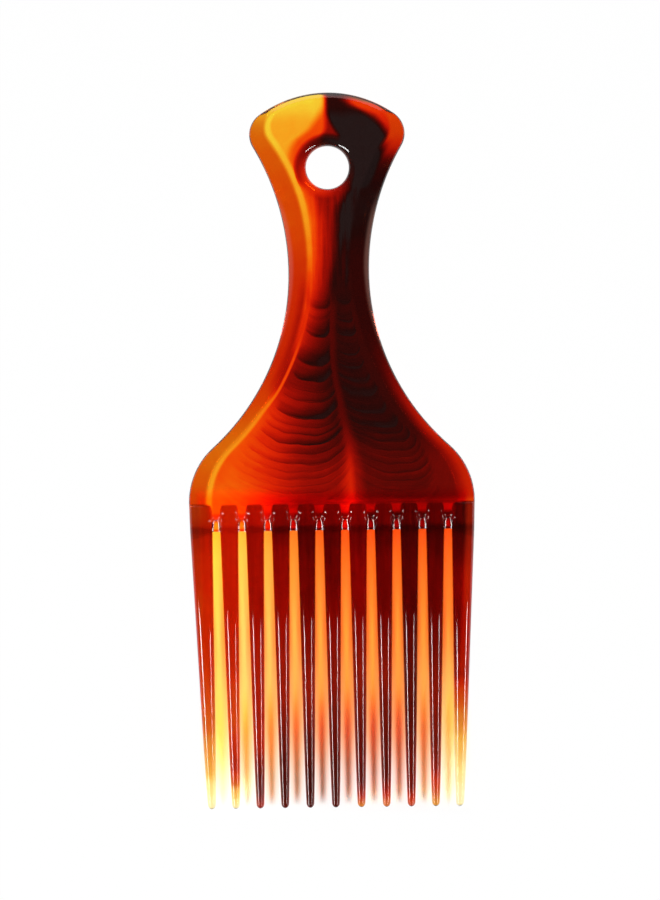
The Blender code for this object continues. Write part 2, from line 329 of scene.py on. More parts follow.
def borderHeight(inset):
    # Height of the handle's border at the shoulder
    rimHalf, rimRound, border = handle["rimHalf"], handle["rimRound"], handle["shoulderBorder"]
    profile = borderProfile(border)
    foot = profile[handle["rimSteps"]]
    if inset <= 0.0:
        return 0.0
    if inset < foot[0]:
        return rimHalf * math.sqrt(1 - (1 - inset / rimRound) ** 2)
    share = min((inset - foot[0]) / (border - foot[0]), 1.0)
    return foot[1] + (halfThickness - foot[1]) * share


def plateHeight(along, fromSlot):
    # From the flat down the valley between two teeth, over the slot's lip, onto the web
    valleyTop = halfThickness - bar["valleyDepth"]
    valley = halfThickness - bar["valleyDepth"] * ease(along, 0.0, bar["valleyRamp"])
    beforeEnd = (barEnd - handleEnd - along) / (barEnd - handleEnd - bar["webFoot"])
    web = webHeight(fromSlot, min(max(beforeEnd, 0.0), 1.0))
    wall = (valleyTop + web) / 2
    reach = min(abs(fromSlot), slotHalf)
    along -= bar["archShare"] * (slotHalf - math.sqrt(slotHalf ** 2 - reach ** 2))
    if along <= bar["lipStart"]:
        return valley
    if along <= bar["slotEnd"]:
        over = (along - bar["lipStart"]) / (bar["slotEnd"] - bar["lipStart"])
        return wall + (valleyTop - wall) * math.sqrt(1 - over ** 2)
    if along <= bar["webFoot"]:
        under = 1 - (along - bar["slotEnd"]) / (bar["webFoot"] - bar["slotEnd"])
        return wall - (wall - web) * math.sqrt(1 - under ** 2)
    return web


def softMax(first, second):
    # The higher of two heights, with a fillet where they cross
    soft = min(bar["fillet"], min(first, second) / 2)
    if soft <= 0.0:
        return max(first, second)
    overlap = max(soft - abs(first - second), 0.0)
    return max(first, second) + overlap ** 2 / (4 * soft)


def barHeight(x, along, number):
    slot = math.floor(x / teeth["pitch"]) + 0.5
    slot = min(max(slot, 0.5 - teeth["outer"]), teeth["outer"] - 0.5)
    plate = plateHeight(along, x - slot * teeth["pitch"])
    plate = min(plate, borderHeight(barHalfWidth(along) - abs(x)))
    if number is None:
        return plate
    centre, half = rootLimits(number, along)
    rib = halfThickness * crestShare(along) * ribHeight((x - centre) / half)
    # A small cone on each side of a slot's end, which catches the light
    away = math.hypot(abs(x - slot * teeth["pitch"]) - bar["studAcross"], along - bar["studAlong"])
    swell = bar["studHeight"] * max(1 - away / bar["studRadius"], 0.0)
    return min(softMax(plate, rib) + swell, halfThickness)


def barColumns(along):
    # Places across the bar as (across, tooth number or None, angle index, side of the tooth)
    columns = []
    for number in range(-teeth["outer"], teeth["outer"] + 1):
        centre, half = rootLimits(number, along)
        for index, side in toothOrder:
            share = sectionShare(sideAngles[index], teeth["rootSquareness"])
            columns.append((centre + side * half * share, number, index, side))
        if number < teeth["outer"]:
            middle = (number + 0.5) * teeth["pitch"]
            for i in range(1, bar["slotColumns"]):
                angle = math.pi * (1 - i / bar["slotColumns"])
                columns.append((middle + slotHalf * math.cos(angle), None, None, 0))
    return columns


def barPlaces():
    alongs = [0.0]
    for end, count in bar["rowSteps"]:
        start = alongs[-1]
        alongs += [start + (end - start) * i / count for i in range(1, count + 1)]
    return alongs


# How much dye each tooth holds, as (station, amount) from its root to its tip

toothDye = {
    -5: ((107, 0.62), (118, 0.56), (126, 0.50), (140, 0.50), (148, 0.44), (154, 0.38), (160, 0.25),
         (165, 0.19), (170, 0.05), (175, 0.0)),
    -4: ((107, 0.58), (124, 0.56), (140, 0.58), (147, 0.49), (154, 0.45), (160, 0.55), (165, 0.59),
         (168, 0.42), (171, 0.16), (175, 0.0)),
    -3: ((107, 0.67), (118, 0.65), (150, 0.64), (159, 0.61), (165, 0.72), (170, 0.78), (175, 0.62)),
    -2: ((107, 0.76), (112, 0.69), (130, 0.66), (148, 0.68), (157, 0.74), (165, 0.80), (171, 0.82),
         (175, 0.76)),
    -1: ((107, 0.79), (118, 0.75), (136, 0.72), (148, 0.69), (154, 0.73), (160, 0.80), (170, 0.84),
         (175, 0.80)),
    0: ((107, 0.78), (118, 0.76), (130, 0.70), (142, 0.71), (158, 0.76), (166, 0.81), (175, 0.80)),
    1: ((107, 0.75), (118, 0.70), (144, 0.71), (156, 0.76), (169, 0.76), (172, 0.60), (175, 0.22)),
    2: ((107, 0.82), (118, 0.75), (132, 0.73), (142, 0.70), (152, 0.75), (167, 0.77), (170, 0.66),
        (175, 0.30)),
    3: ((107, 0.85), (118, 0.79), (152, 0.80), (164, 0.75), (170, 0.71), (175, 0.43)),
    4: ((107, 0.84), (118, 0.76), (136, 0.75), (148, 0.70), (158, 0.74), (165, 0.67), (170, 0.46),
        (175, 0.20)),
    5: ((107, 0.84), (112, 0.79), (119, 0.73), (136, 0.75), (142, 0.71), (148, 0.43), (154, 0.27),
        (160, 0.14), (168, 0.03), (172, 0.0)),
}


def dyeAt(number, station):
    points = toothDye[number]
    if station <= points[0][0]:
        return points[0][1]
    for (start, first), (end, second) in zip(points, points[1:]):
        if station <= end:
            return first + (second - first) * ease(station, start, end)
    return points[-1][1]


# The mesh: one seamless moulding

def zipRows(bm, first, second):
    # Triangles between two rows that run the same way but hold unlike counts
    i = j = 0
    while i < len(first) - 1 or j < len(second) - 1:
        stepFirst = j == len(second) - 1 or (
            i < len(first) - 1 and first[i + 1].co.x <= second[j + 1].co.x)
        if stepFirst:
            bm.faces.new((first[i], first[i + 1], second[j]))
            i += 1
        else:
            bm.faces.new((first[i], second[j + 1], second[j]))
            j += 1


# What the dye and the painted light and shade have to know at each vertex: how far it lies inside
# the ridge, and on the teeth the amount of dye, how much of a tooth it is, and the angle in the
# tooth's section
dyeAndLightFacts = ("fromRidge", "toothShade", "rib", "toothPlace")


class Moulding:
    # Collects the vertices and faces. Facts that are left out are 0
    def __init__(self):
        self.bm = bmesh.new()
        self.layers = [self.bm.verts.layers.float.new(name) for name in dyeAndLightFacts]

    def vertex(self, x, station, height, *facts):
        place = (x * mm, (combLength / 2 - station) * mm, (halfThickness + height) * mm)
        vertex = self.bm.verts.new(place)
        for layer, value in zip(self.layers, facts):
            vertex[layer] = value
        return vertex

    def pair(self, x, station, height, *facts):
        # The same place on both faces, which is one vertex where they meet
        front = self.vertex(x, station, height, *facts)
        return front, self.vertex(x, station, -height, *facts) if height else front

    def bridge(self, rows, closed=False):
        # Four-sided faces between each row and the next
        for first, second in zip(rows, rows[1:]):
            for i in range(len(first) if closed else len(first) - 1):
                j = (i + 1) % len(first)
                self.bm.faces.new((first[i], first[j], second[j], second[i]))

    def markSharp(self, vertices, closed=False):
        pairs = list(zip(vertices, vertices[1:]))
        if closed:
            pairs.append((vertices[-1], vertices[0]))
        edges = [self.bm.edges.get(pair) or self.bm.edges.new(pair) for pair in pairs]
        for edge in edges:
            edge.smooth = False
        return edges


def addHandle(moulding):
    rows = borderRows()
    seamEnd = handleEnd - handle["seamShift"]
    turns = [2 * math.pi * i / hole["sides"] for i in range(hole["sides"])]
    placed, ends, lips = [], [], []
    for side in (1, -1):
        placed = placed[:1]  # both faces share the rim
        for row in rows[len(placed):]:
            placed.append([moulding.vertex(x, min(station, seamEnd), side * height, fromRidge)
                           for x, station, height, fromRidge in row])
        moulding.bridge(placed)
        inner = placed[-1]
        start, end = inner[0].co.x, inner[-1].co.x
        seam = []
        for i in range(1, handle["seamSteps"]):
            x = (start + (end - start) * (i / handle["seamSteps"])) / mm
            seam.append(moulding.vertex(x, seamEnd, side * halfThickness, handle["glowWidth"]))
        circles = [[moulding.vertex(radius * math.cos(turn), hole["station"] + radius * math.sin(turn),
                                    side * height, handle["glowWidth"]) for turn in turns]
                   for radius, height in lipProfile()]
        moulding.bridge(circles, closed=True)
        border = moulding.markSharp(inner)
        border += moulding.markSharp([inner[0]] + seam + [inner[-1]])
        border += moulding.markSharp(circles[0], closed=True)
        bmesh.ops.triangle_fill(moulding.bm, edges=border, use_beauty=True)
        lips.append(circles[-1])
        ends.append([row[0] for row in placed] + seam + [row[-1] for row in reversed(placed)])
    moulding.bridge(lips, closed=True)
    return ends


def addBar(moulding):
    shareStart, shareGrowth = bar["rootShare"]
    softInner, softOuter = bar["rootSoft"]
    first = previous = None
    for along in barPlaces():
        columns = barColumns(along)
        crest = crestShare(along)
        row = []
        for place, (x, number, index) in enumerate(column[:3] for column in columns):
            fromRidge = min(barHalfWidth(along) - abs(x) - handle["shoulderBorder"],
                            handle["glowWidth"])
            rib = shade = angle = 0.0
            if number is not None:
                angle = sideAngles[index]
                share = sectionShare(angle, teeth["rootSquareness"])
                valleyShare = shareStart + shareGrowth * ease(along, *bar["rootShareRun"])
                rib = crest * (1 - ease(share, valleyShare - softInner, valleyShare + softOuter))
                if along > bar["slotEnd"]:
                    rib = max(rib, ease(along, bar["slotEnd"], bar["webFoot"]))
                shade = dyeAt(number, barEnd)
            height = barHeight(x, along, number)
            if place in (0, len(columns) - 1):
                rib, height, angle = crest, 0.0, 0.0
            row.append(moulding.pair(x, handleEnd + along, height, fromRidge, shade, rib, angle))
        if previous:
            for face in (0, 1):
                moulding.bridge([[pair[face] for pair in pairs] for pairs in (previous, row)])
        first = first or row
        previous = row
    return first, previous, columns


def addTooth(moulding, number, barRow, columns):
    # A tube from the bar's last row to the tip. Returns its first ring as pairs of front and back
    rootX, rootHalf = rootLimits(number, barEnd - handleEnd)
    side = -1 if number < 0 else 1
    tipX = side * (teeth["pitch"] * abs(number) - teeth["lean"] * (number / teeth["outer"]) ** 2)
    shade = dyeAt(number, barEnd)
    onBar = [pair for column, pair in zip(columns, barRow) if column[1] == number]
    root = toothSection(rootX, rootHalf, halfThickness, teeth["rootSquareness"])
    front = []
    for (index, flank), pair, (x, height, angle) in zip(toothOrder, onBar, root):
        atOutline = abs(number) == teeth["outer"] and flank == side
        if index < contact and not atOutline:
            pair = moulding.pair(x, barEnd, height, handle["glowWidth"], shade, 1.0, angle)
        front.append(pair)
    previous = [pair[0] for pair in front] + [pair[1] for pair in front[-2:0:-1]]
    length = combLength - barEnd
    roundStart = 1 - teeth["tipRound"] / length
    places = [(roundStart * (i / teeth["rows"]) ** teeth["rowPower"], 1.0)
              for i in range(1, teeth["rows"] + 1)]
    for i in range(1, teeth["tipSteps"]):
        angle = math.pi / 2 * i / teeth["tipSteps"]
        places.append((roundStart + (1 - roundStart) * math.sin(angle), math.cos(angle)))
    for share, drawnIn in places:
        squareness = teeth["rootSquareness"] + (teeth["tipSquareness"] - teeth["rootSquareness"]) * share
        centre = rootX + (tipX - rootX) * share
        half = rootHalf + (teeth["tipHalf"] - rootHalf) * share
        half = (half - teeth["sharpening"] * share ** teeth["sharpeningPower"]) * drawnIn
        top = (halfThickness + (teeth["tipHeight"] - halfThickness) * share) * drawnIn
        station = barEnd + length * share
        shade = dyeAt(number, station)
        section = toothSection(centre, half, top, squareness)
        section += [(x, -height, angle) for x, height, angle in section[-2:0:-1]]
        ring = [moulding.vertex(x, station, height, handle["glowWidth"], shade, 1.0, angle)
                for x, height, angle in section]
        moulding.bridge([previous, ring], closed=True)
        previous = ring
    tip = moulding.vertex(tipX, combLength, 0.0, handle["glowWidth"], dyeAt(number, combLength), 1.0)
    for i in range(len(previous)):
        moulding.bm.faces.new((previous[i], previous[(i + 1) % len(previous)], tip))
    return front


def addWebEnds(moulding, barRow, columns, rings):
    # The end face of the web in each slot, between two teeth
    for number in range(-teeth["outer"], teeth["outer"]):
        start, end = [next(i for i, column in enumerate(columns) if column[1:] == wanted)
                      for wanted in ((number, contact, 1), (number + 1, contact, -1))]
        leftRing, rightRing = rings[number], rings[number + 1]
        face = [barRow[i][0] for i in range(start, end + 1)]
        face += [rightRing[1][0], rightRing[0][0], rightRing[1][1]]
        face += [barRow[i][1] for i in range(end, start - 1, -1)]
        face += [leftRing[-2][1], leftRing[-1][0], leftRing[-2][0]]
        moulding.bm.faces.new(face)


def addObject(name, data):
    made = bpy.data.objects.new(name, data)
    bpy.context.collection.objects.link(made)
    return made


def addMesh(name, bm):
    mesh = bpy.data.meshes.new(name)
    bm.to_mesh(mesh)
    bm.free()
    return addObject(name, mesh)


creaseAngle = math.radians(34)


def buildComb():
    moulding = Moulding()
    ends = addHandle(moulding)
    first, last, columns = addBar(moulding)
    for face in (0, 1):
        zipRows(moulding.bm, ends[face], [pair[face] for pair in first])
    rings = {number: addTooth(moulding, number, last, columns)
             for number in range(-teeth["outer"], teeth["outer"] + 1)}
    addWebEnds(moulding, last, columns, rings)
    bm = moulding.bm
    bmesh.ops.recalc_face_normals(bm, faces=bm.faces)
    for face in bm.faces:
        face.smooth = True
    for edge in bm.edges:
        if edge.calc_face_angle(0.0) > creaseAngle:
            edge.smooth = False
    return addMesh("comb", bm)


comb = buildComb()
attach(comb, "root")
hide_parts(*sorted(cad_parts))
print(f"moulding built: {len(comb.data.polygons)} faces")


# Node trees: short helpers, so that a formula reads in one go

nodesInRow = 14
nodeSpace = (190, 260)


class Net:
    # Writes one node tree. A value is a number, or the socket that it comes from
    def __init__(self, tree, drawn=None):
        self.tree = tree
        self.drawn = drawn  # the parts of a pattern, by name
        self.at = {}  # the measures that they are drawn with

    def new(self, kind, **settings):
        node = self.tree.nodes.new(kind if kind.startswith("Node") else "ShaderNode" + kind)
        row, column = divmod(len(self.tree.nodes), nodesInRow)
        node.location = (column * nodeSpace[0], -row * nodeSpace[1])
        for name, value in settings.items():
            setattr(node, name, value)
        return node

    def plug(self, value, socket):
        if isinstance(value, bpy.types.NodeSocket):
            self.tree.links.new(value, socket)
        else:
            socket.default_value = value

    def fill(self, node, output, *values):
        # Plugs the values into the node's inputs in order. None leaves one as it is
        for value, socket in zip(values, node.inputs):
            if value is not None:
                self.plug(value, socket)
        return node.outputs[output]

    def calc(self, operation, *values, clamp=False):
        return self.fill(self.new("Math", operation=operation, use_clamp=clamp), 0, *values)

    def plus(self, first, *more):
        return self.plus(self.calc("ADD", first, more[0]), *more[1:]) if more else first

    def minus(self, first, second):
        return self.calc("SUBTRACT", first, second)

    def times(self, first, *more):
        return self.times(self.calc("MULTIPLY", first, more[0]), *more[1:]) if more else first

    def over(self, first, second, clamp=False):
        return self.calc("DIVIDE", first, second, clamp=clamp)

    def scaled(self, value, factor, added):
        return self.calc("MULTIPLY_ADD", value, factor, added)

    def step(self, value, start, end, low=0.0, high=1.0):
        # Runs smoothly from low to high while value goes from start to end
        node = self.new("MapRange", interpolation_type="SMOOTHSTEP", clamp=True)
        return self.fill(node, 0, value, start, end, low, high)

    def part(self, low=0.0, high=1.0, by=None, **edges):
        shares = [self.at[by]] if by else []
        for measure, places in edges.items():
            shares.append(self.step(self.at[measure], *places[:2]))
            if places[2:]:
                shares.append(self.step(self.at[measure], places[3], places[2]))
        return self.scaled(self.times(*shares), high - low, low)

    def draw(self, name):
        # One part of the pattern, or the sum of several
        parts = self.drawn[name]
        if isinstance(parts, dict):
            return self.part(**parts)
        return self.plus(*[self.part(**part) for part in parts])

    def share(self, value, start, end):
        return self.fill(self.new("MapRange", clamp=True), 0, value, start, end)

    def blend(self, share, first, second):
        return self.fill(self.new("Mix", data_type="FLOAT"), 0, share, None, first, second)

    def blendColour(self, share, first, second):
        # The two colours are the seventh and eighth inputs
        return self.fill(self.new("Mix", data_type="RGBA"), 2, share, *[None] * 5, first, second)

    def vector(self, operation, output, *values):
        return self.fill(self.new("VectorMath", operation=operation), output, *values)

    def point(self, x, y):
        return self.fill(self.new("CombineXYZ"), 0, x, y)

    def noise(self, place, scale, detail):
        node = self.new("TexNoise")
        for name, value in (("Vector", place), ("Scale", scale), ("Detail", detail)):
            self.plug(value, node.inputs[name])
        return node.outputs

    def painted(self, name):
        # What the mesh holds under that name at each vertex
        return self.new("Attribute", attribute_name=name).outputs["Fac"]

    def axes(self, vector):
        node = self.new("SeparateXYZ")
        self.fill(node, 0, vector)
        return node.outputs

    def combPlace(self):
        # Measures where the shaded point lies on the comb
        place = self.new("TexCoord").outputs["Object"]
        axes = self.axes(place)
        self.at["across"] = self.over(axes["X"], mm)
        self.at["along"] = self.scaled(axes["Y"], -1 / mm, combLength / 2)
        return place

    def curve(self, value, start, end, points, reach, straight=False):
        # A line through given points: points are (value, result), with results within plus or minus
        # reach
        node = self.new("FloatCurve")
        curve = node.mapping.curves[0]
        spots = [((place - start) / (end - start), (result + reach) / (2 * reach))
                 for place, result in points]
        for spot, point in zip(spots, curve.points):
            point.location = spot
        for spot in spots[2:]:
            curve.points.new(*spot)
        if straight:
            for point in curve.points:
                point.handle_type = "VECTOR"
        node.mapping.update()
        self.plug(self.share(value, start, end), node.inputs["Value"])
        return self.scaled(node.outputs["Value"], 2 * reach, -reach)

    def ramp(self, value, steps, start=0.0, end=1.0):
        # A row of colours, as (place, colour), with the places between start and end
        node = self.new("ValToRGB")
        elements = node.color_ramp.elements
        while len(elements) < len(steps):
            elements.new(1.0)
        for element, (place, colour) in zip(elements, steps):
            element.position = (place - start) / (end - start)
        for element, (place, colour) in zip(elements, steps):
            element.color = (*colour, 1.0)
        return self.fill(node, 0, self.share(value, start, end))

    def group(self, group, **values):
        node = self.new("Group", node_tree=group)
        for label, value in values.items():
            self.plug(value, node.inputs[label])
        return node.outputs

    def finish(self, kind, surface):
        self.plug(surface, self.new(kind).inputs["Surface"])


def newGroup(name, drawn, inputs, outputs):
    tree = bpy.data.node_groups.new(name, "ShaderNodeTree")
    for label, value in inputs.items():
        socket = tree.interface.new_socket(label, in_out="INPUT", socket_type="NodeSocketFloat")
        socket.default_value = value
    for label in outputs:
        tree.interface.new_socket(label, in_out="OUTPUT", socket_type="NodeSocketFloat")
    net = Net(tree, drawn)
    return net, net.new("NodeGroupInput").outputs, net.new("NodeGroupOutput").inputs


def emptyNet(owner, drawn):
    # The node tree of a material or world, with nothing in it
    owner.use_nodes = True
    owner.node_tree.nodes.clear()
    return Net(owner.node_tree, drawn)


# Dye: one amount from 0, clear and pale, to 1, nearly black, drawn in real sizes, with some painted
# light and shade added to it. A part is a product of soft edges, times by where that is given, and
# set out from low to high. An edge is named after its measure and has two places, the higher one
# first where it falls, or four where it rises and falls again

flowFronts = {
    "centreShare": 0.66,
    "sagStart": 0.6,
    "sagSlope": 0.18,
    "sagPower": 2.5,
    "fadePower": 1.6,
    "darkBefore": 0.3,
    "line": dict(high=0.05, step=(0.78, 0.93)),
    "shown": dict(step=(1.0, 0.91), number=(0.0, 0.6), out=(1.04, 0.84)),
    # Where each front ends at its lowest place, as (station, how much it darkens)
    "left": ((47.0, 0.04), (53.4, 0.16), (60.1, 0.22), (67.3, 0.27), (70.9, 0.26), (73.4, 0.06),
             (76.1, 0.13), (80.0, 0.32), (82.0, 0.06), (84.0, 0.10), (86.4, 0.26), (88.6, 0.07),
             (91.1, 0.13), (92.9, 0.06), (94.8, 0.08), (96.5, 0.05), (98.2, 0.05), (101.0, 0.0)),
    "right": ((47.2, 0.05), (51.8, 0.09), (56.7, 0.06), (60.1, 0.07), (64.5, 0.03), (67.8, 0.05),
              (71.2, 0.07), (74.6, 0.10), (78.9, 0.08), (82.5, 0.11), (83.8, 0.05), (85.8, 0.08),
              (88.0, 0.07), (89.5, 0.06), (91.2, 0.09), (93.4, 0.08), (95.6, 0.06), (98.0, 0.0)),
}


def flowGroup():
    # The nested fronts that the dye left as the plastic flowed in, between two lines
    net, given, result = newGroup("flowFronts", flowFronts, dict(Number=0.0, Darkness=0.1, Out=0.0),
                                  ["Shade"])
    step = net.calc("FRACT", given["Number"])
    net.at = {"step": step, "number": given["Number"], "out": given["Out"]}
    fade = net.times(net.calc("POWER", step, flowFronts["fadePower"]), given["Darkness"])
    net.plug(net.times(net.plus(fade, net.draw("line")), net.draw("shown")), result["Shade"])
    return net.tree


flowFrontGroup = flowGroup()

drawnTo = 102.0  # the station where the lines and levels below end
widest = 35.0  # no line lies further than this from the middle

plasticLines = {
    # Where the dye passes from yellow to red and on to nearly black, as (station, across)
    "orangeEnd": ((0, -0.4), (3.3, -0.9), (5.5, -2.0), (7.2, -3.1), (9.6, -5.0), (12.4, -8.2),
                  (15, -9.3), (17.7, -9.3), (20.2, -8.3), (23.5, -6.9), (29.9, -5.0), (41, -4.6),
                  (50.7, -5.2), (102, -5.2)),
    "redEnd": ((0, -0.3), (4.3, -0.5), (7.2, -0.3), (9, -0.4), (11.6, -1.8), (22.6, -3.0), (32, -1.8),
               (42, -2.2), (52, -3.4), (102, -3.4)),
    "darkStart": ((0, -0.1), (4.8, 0.1), (7.2, 0.9), (9.2, 2.0), (14, 4.4), (22.7, 5.4), (25.9, 3.8),
                  (28.8, 2.4), (33.7, 2.0), (38, 1.9), (44, 1.0), (48, 0.4), (52, 0.0), (102, 0.0)),
    "darkEnd": ((0, 3.0), (2.5, 4.8), (4.6, 8.8), (6.8, 12.1), (10.2, 14.7), (12.4, 15.8), (16, 17),
                (102, 17)),
    "middle": ((0, 0.5), (53, 0.9), (67.4, 1.0), (75.3, 2.3), (87, 4.6), (93.7, 5.2), (102, 5.4)),
    "leftRidge": ((0, -14), (25, -7.3), (36, -5), (50.5, -5.7), (67.3, -10.3), (77, -16.1),
                  (86.7, -24.5), (96.2, -29.8), (102, -30.4)),
    "leftSet": ((0, -5.2), (52, -5.4), (59, -6.3), (64, -8), (68.3, -9.1), (71.4, -11.3), (76, -13.3),
                (79.5, -15.8), (84.8, -19.8), (90, -23.3), (95, -25.2), (102, -26)),
    "rightSet": ((0, 5.5), (53, 5.6), (60.4, 7), (68, 9.3), (71.5, 11.2), (75.4, 13.1), (80.4, 17),
                 (85.4, 21.8), (90.3, 24.2), (95.2, 25.6), (102, 26.5)),
}

# How much dye there is along the borders and the plate, and the level of the painted highlight along
# the left ridge, which also makes the left border pale near the end, as (station, amount)
dyeLevels = {
    "leftBorder": ((0, 0.10), (4, 0.14), (8, 0.28), (20, 0.37), (36, 0.40), (43, 0.45), (58, 0.47),
                   (66, 0.47), (74, 0.41), (80, 0.36), (86, 0.31), (94, 0.35), (102, 0.42)),
    "leftRidge": ((0, 0.10), (8, 0.12), (12, 0.14), (16, 0.18), (24, 0.21), (31, 0.235), (36, 0.28),
                  (41, 0.33), (46, 0.44), (51, 0.50), (54, 0.47), (58, 0.48), (62, 0.45), (66, 0.41),
                  (72, 0.38), (78, 0.30), (86, 0.26), (94, 0.23), (102, 0.22)),
    "rightBorder": ((0, 0.58), (3, 0.44), (8, 0.42), (12, 0.47), (14.5, 0.60), (17, 0.82), (20, 0.92),
                    (25, 0.96), (34, 0.95), (40, 0.91), (55, 0.90), (62, 0.89), (70, 0.87), (78, 0.81),
                    (86, 0.71), (94, 0.67), (102, 0.66)),
    "plateStart": ((0, 0.5), (50, 0.46), (60, 0.50), (66, 0.64), (70, 0.65), (74, 0.52), (82, 0.37),
                   (90, 0.39), (94, 0.38), (98, 0.35), (102, 0.33)),
    "plateEnd": ((0, 0.9), (50, 0.88), (60, 0.88), (70, 0.90), (82, 0.88), (90, 0.71), (94, 0.66),
                 (102, 0.68)),
    "plateRight": ((0, 0.9), (50, 0.90), (74, 0.92), (82, 0.90), (90, 0.79), (97, 0.78), (102, 0.76)),
}

# The plastic as it looks over white, from the least dye to the most
dyeColours = (
    (0.00, (0.95, 0.83, 0.33)), (0.10, (1.00, 0.70, 0.036)), (0.22, (1.00, 0.37, 0.012)),
    (0.32, (0.98, 0.17, 0.0030)), (0.40, (0.93, 0.066, 0.0012)), (0.48, (0.79, 0.022, 0.0012)),
    (0.56, (0.58, 0.0095, 0.0012)), (0.64, (0.35, 0.0045, 0.0012)), (0.72, (0.205, 0.0030, 0.0012)),
    (0.80, (0.102, 0.0024, 0.0012)), (0.88, (0.048, 0.0024, 0.0015)), (0.95, (0.020, 0.0027, 0.0021)),
    (1.00, (0.0195, 0.0095, 0.0090)),
)

# The same for the teeth, which are thin enough to look browner
toothColours = (
    (0.00, (1.00, 0.93, 0.62)), (0.08, (0.95, 0.74, 0.25)), (0.18, (0.84, 0.45, 0.065)),
    (0.28, (0.70, 0.25, 0.030)), (0.38, (0.60, 0.115, 0.010)), (0.46, (0.54, 0.058, 0.005)),
    (0.54, (0.50, 0.028, 0.0025)), (0.60, (0.42, 0.018, 0.0020)), (0.66, (0.31, 0.012, 0.0025)),
    (0.72, (0.21, 0.0085, 0.0022)), (0.80, (0.105, 0.0050, 0.0018)), (0.88, (0.048, 0.0030, 0.0018)),
    (0.95, (0.020, 0.0022, 0.0020)), (1.00, (0.010, 0.0018, 0.0018)),
)

# The four lines of the head: how soft each is above and below the hole, and the dye it adds
headLines = {"orangeEnd": (1.5, 1.5, 0.19), "redEnd": (1.0, 2.6, 0.28),
             "darkStart": (0.8, 1.7, 0.34), "darkEnd": (1.8, 1.8, -0.50)}

dyeAndPaintedLightParts = {
    # Head and neck
    "ground": dict(low=0.13, high=0.21, along=(3, 8)),
    "belowHole": dict(along=(9, 24)),
    "pastLine": dict(pastLine=(-1, 1)),
    "most": dict(low=1.0, high=0.935, along=(33, 42)),
    "neckStreaks": dict(high=0.22, by="streak", along=(20, 26, 44, 52), across=(-5, -3)),
    # Shoulder plate
    "onPlate": dict(wavyAlong=(46, 55)),
    "lowerPart": dict(along=(82, 90)),
    "lowerShare": dict(plateShare=(0.12, 0.80)),
    "toEdge": dict(high=-0.03, pastSet=(-4, 3)),
    "onRight": dict(fromMiddle=(-0.8, 1.2)),
    "middleWidth": dict(low=1.4, high=4.2, wavyAlong=(70, 100)),
    "middleLight": dict(low=0.06, high=0.15, wavyAlong=(60, 98)),
    "onMiddle": dict(middleShare=(1, 0)),
    "smoke": dict(low=0.4, frontShare=(0.0, 0.6)),
    "frontGrain": dict(low=1.0, high=0.2, out=(0.9, 1.1)),
    # Lip of the hanging hole
    "onLip": dict(radius=(8.2, 6.6)),
    "inLip": dict(high=-0.07, radius=(6.8, 5.5)),
    # A ring of painted shade where the lip begins, which fades out below the hole
    "ring": (dict(high=0.20, radius=(6.5, 7.6, 7.6, 8.7)),
             dict(high=-0.18, radius=(6.5, 7.6, 7.6, 8.7), down=(2, 6))),
    # Border: on the right a painted highlight makes it lighter towards the rim, and it is dark along
    # the head's ridge
    "onBorder": dict(ridge=(0.1, -0.7)),
    "rightHalf": dict(across=(-1.5, 2.0)),
    "leftBorder": dict(high=0.10, ridge=(-3.2, -0.8), along=(44, 52, 68, 76)),
    # The first two are the painted highlight towards the rim
    "rightBorder": (dict(high=-0.26, ridge=(0.2, -4.0), along=(56, 80)),
                    dict(high=0.08, ridge=(0.2, -4.0), along=(80, 92)),
                    dict(high=0.42, ridge=(-2.6, -0.5), along=(11, 15, 20, 24))),
    # Painted shade that darkens the border's bevel, from a little past the end
    "borderShade": dict(low=1.0, high=0.76, ridge=(0.1, -0.7), along=(3, 9)),
    # A painted highlight along the left ridge, where it gathers light like a lens; it lies further in at
    # the shoulder
    "lineIn": dict(low=0.4, high=0.1, along=(26, 34)),
    "lineFurther": dict(high=0.8, along=(47, 54, 72, 79)),
    "leftHalf": dict(across=(-2.5, -4.0)),
    # The end's rim, with a painted grey reflection: a wide band to the right of the middle, a thin one
    # to the left
    "rimLeft": dict(low=0.35, high=1.15, across=(-3.0, 0.5)),
    "rimRight": dict(low=1.0, high=0.2, across=(8.5, 14.5)),
    "rim": dict(pastRim=(0.1, -0.25), along=(5.2, 3.6)),
    # The outermost millimetre of the neck and the shoulders, paler with a painted highlight
    "edge": dict(ridge=(-4.1, -5.2), along=(22, 32, 84, 100)),
    # Round the roots: the webs, painted shade along their free ends, and the plastic over the slots'
    # ends
    "roots": (dict(high=-0.03, along=(104.2, 105.4)),
              dict(high=-0.14, along=(104.2, 105.4), across=(-13, -26)),
              dict(high=-0.10, along=(104.2, 105.4), across=(-6, 2)),
              # Painted shade along the webs' free ends
              dict(high=0.20, along=(106.2, 106.9)),
              dict(high=-0.16, along=(98.8, 101.2, 101.8, 103.6), across=(-8, 2)),
              dict(high=0.10, along=(102.3, 103.3, 103.7, 104.7))),
    # A tooth is lighter at its sides, towards the tip
    "tooth": (dict(high=0.04, along=(140, 168)),
              dict(high=-0.17, along=(140, 168), toothSide=(0.35, 0.95)),
              dict(high=-0.05, along=(106.4, 105.2)),
              dict(high=0.04, along=(105.6, 106.7, 107.1, 108.2)),
              dict(high=0.16, by="streak", along=(140, 112))),
    # Along its outer side the last tooth on the right is lighter with a painted highlight, and the
    # first one at its root
    "outerTeeth": (dict(high=-0.15, outer=(32, 33), along=(100.4, 101.6, 136, 148)),
                   dict(high=-0.08, across=(-28.5, -32), along=(100, 101.4, 103, 107))),
}

